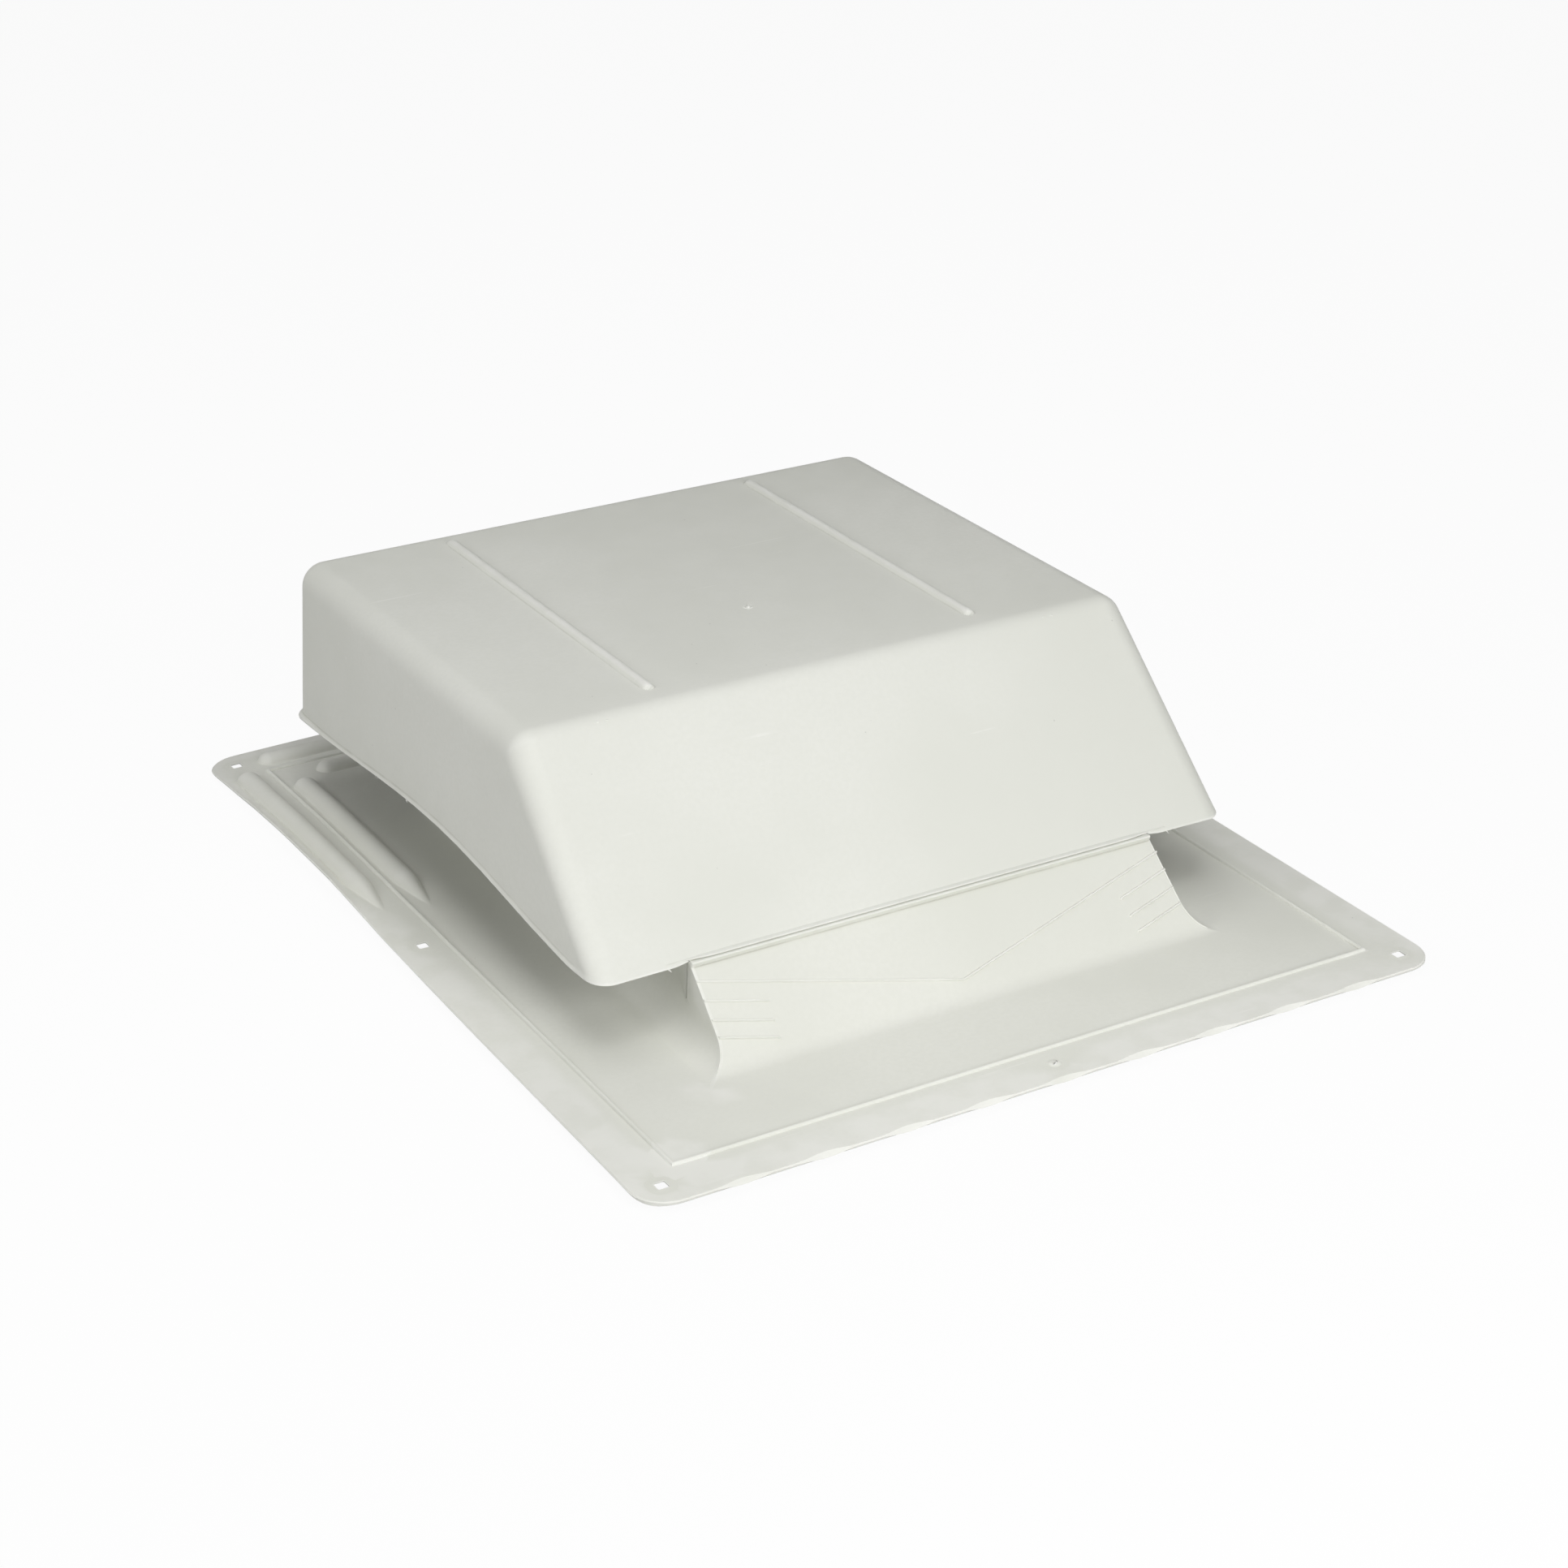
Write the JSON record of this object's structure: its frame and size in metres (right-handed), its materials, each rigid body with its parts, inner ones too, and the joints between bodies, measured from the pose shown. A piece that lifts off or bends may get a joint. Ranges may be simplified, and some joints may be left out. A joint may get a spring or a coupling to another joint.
{
  "type": "slant-back roof vent",
  "caption": "Static slant-back roof vent: flashing base with nailing flange, ramp and throat, a rounded hood open at sides and rear, and slatted insect screens inside.",
  "frame": {"origin": "middle of the flange underside, where the vent lies on the roof", "axes": "+X to the right seen from the ramp side, +Y down the roof slope towards the open rear, +Z away from the roof"},
  "size_m": [0.4, 0.488, 0.1205],
  "materials": {
    "base_plastic": "fine matte moulded polypropylene, light warm grey",
    "hood_plastic": "fine matte moulded polypropylene, light warm grey",
    "screen_plastic": "matte moulded polypropylene, grey",
    "screw_zinc": "bright zinc plating"
  },
  "bodies": {
    "root": {"base_flashing": "base_plastic", "hood": "hood_plastic", "left_screen": "screen_plastic", "right_screen": "screen_plastic", "rear_screen": "screen_plastic", "hood_screws": "screw_zinc"}
  },
  "joints": []
}
